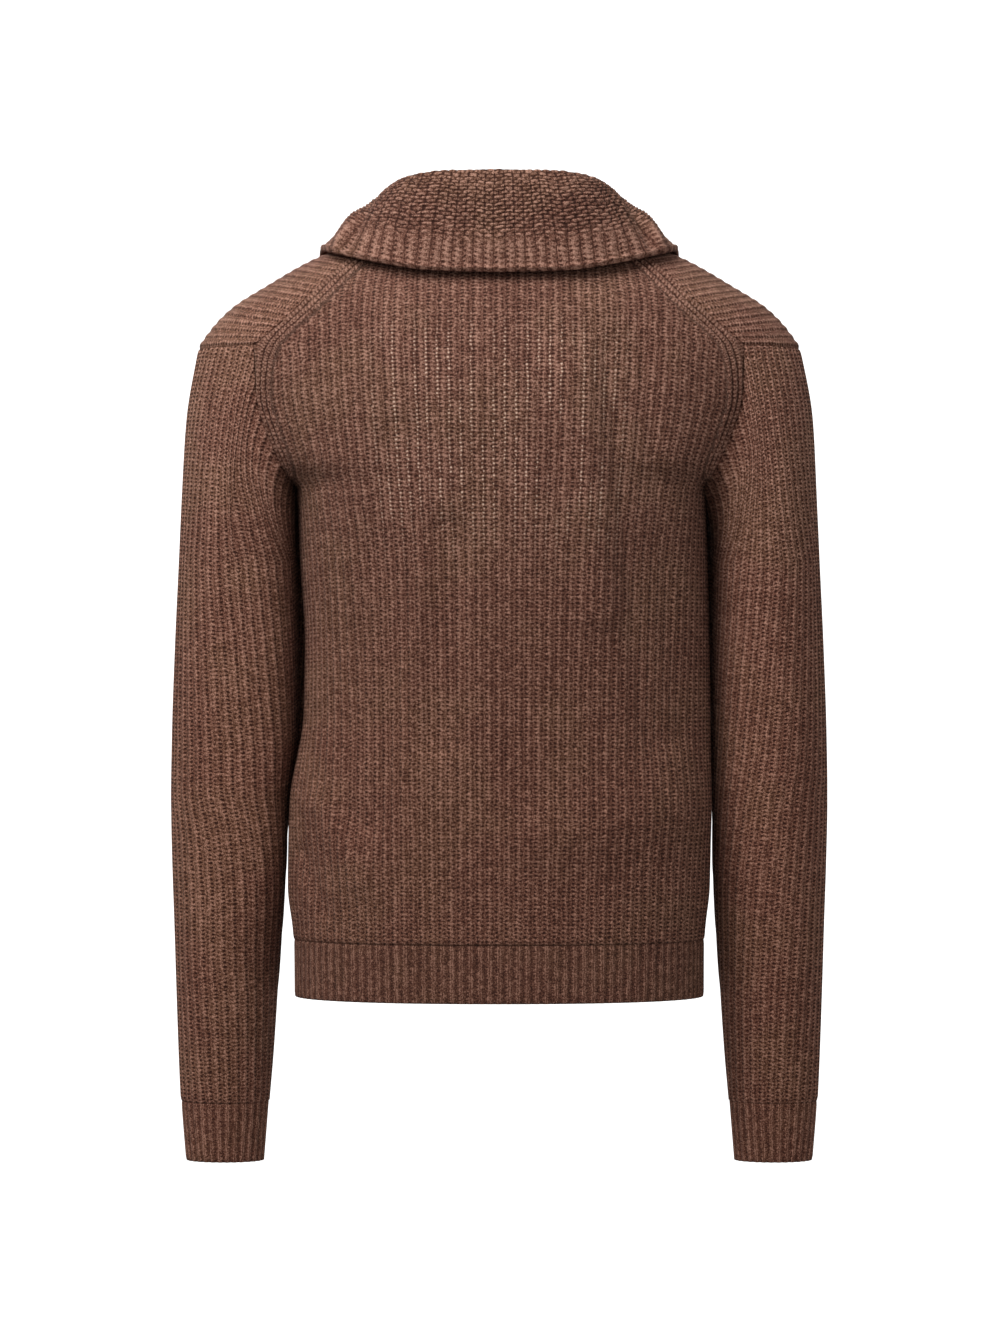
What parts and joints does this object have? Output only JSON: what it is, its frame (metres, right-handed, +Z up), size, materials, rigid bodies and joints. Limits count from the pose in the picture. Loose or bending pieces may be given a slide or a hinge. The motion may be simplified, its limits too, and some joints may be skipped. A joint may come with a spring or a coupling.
{
  "type": "shawl collar cardigan",
  "caption": "Long-sleeved button-front cardigan in chunky rib knit with a broad turned-down shawl collar, ribbed hem and cuffs, in its worn hollow form.",
  "frame": {"origin": "where the wearer's shoulders carry it, on the centre line, level with the points where the neck seam crosses the shoulders", "axes": "+Z up towards the collar, front towards -Y, the wearer's left towards +X"},
  "size_m": [0.5726, 0.2719, 0.8571],
  "materials": {
    "back": "chunky ribbed knit of marled brown wool, matte",
    "front_left": "chunky ribbed knit of marled brown wool, matte",
    "front_right": "chunky ribbed knit of marled brown wool, matte",
    "hem_back": "chunky ribbed knit of marled brown wool, matte",
    "hem_left": "chunky ribbed knit of marled brown wool, matte",
    "hem_right": "chunky ribbed knit of marled brown wool, matte",
    "sleeve_left": "chunky ribbed knit of marled brown wool, matte",
    "sleeve_right": "chunky ribbed knit of marled brown wool, matte",
    "cuff_left": "chunky ribbed knit of marled brown wool, matte",
    "cuff_right": "chunky ribbed knit of marled brown wool, matte",
    "collar": "chunky ribbed knit of marled brown wool, matte",
    "band_left": "chunky ribbed knit of marled brown wool, matte",
    "band_right": "chunky ribbed knit of marled brown wool, matte",
    "button_1": "dark brown horn-look resin, satin",
    "button_2": "dark brown horn-look resin, satin",
    "button_3": "dark brown horn-look resin, satin",
    "button_4": "dark brown horn-look resin, satin",
    "button_5": "dark brown horn-look resin, satin"
  },
  "bodies": {
    "root": {"back": "back", "front_left": "front_left", "front_right": "front_right", "hem_back": "hem_back", "hem_left": "hem_left", "hem_right": "hem_right", "sleeve_left": "sleeve_left", "sleeve_right": "sleeve_right", "cuff_left": "cuff_left", "cuff_right": "cuff_right", "collar": "collar", "band_left": "band_left", "band_right": "band_right", "button_1": "button_1", "button_2": "button_2", "button_3": "button_3", "button_4": "button_4", "button_5": "button_5"}
  },
  "joints": []
}
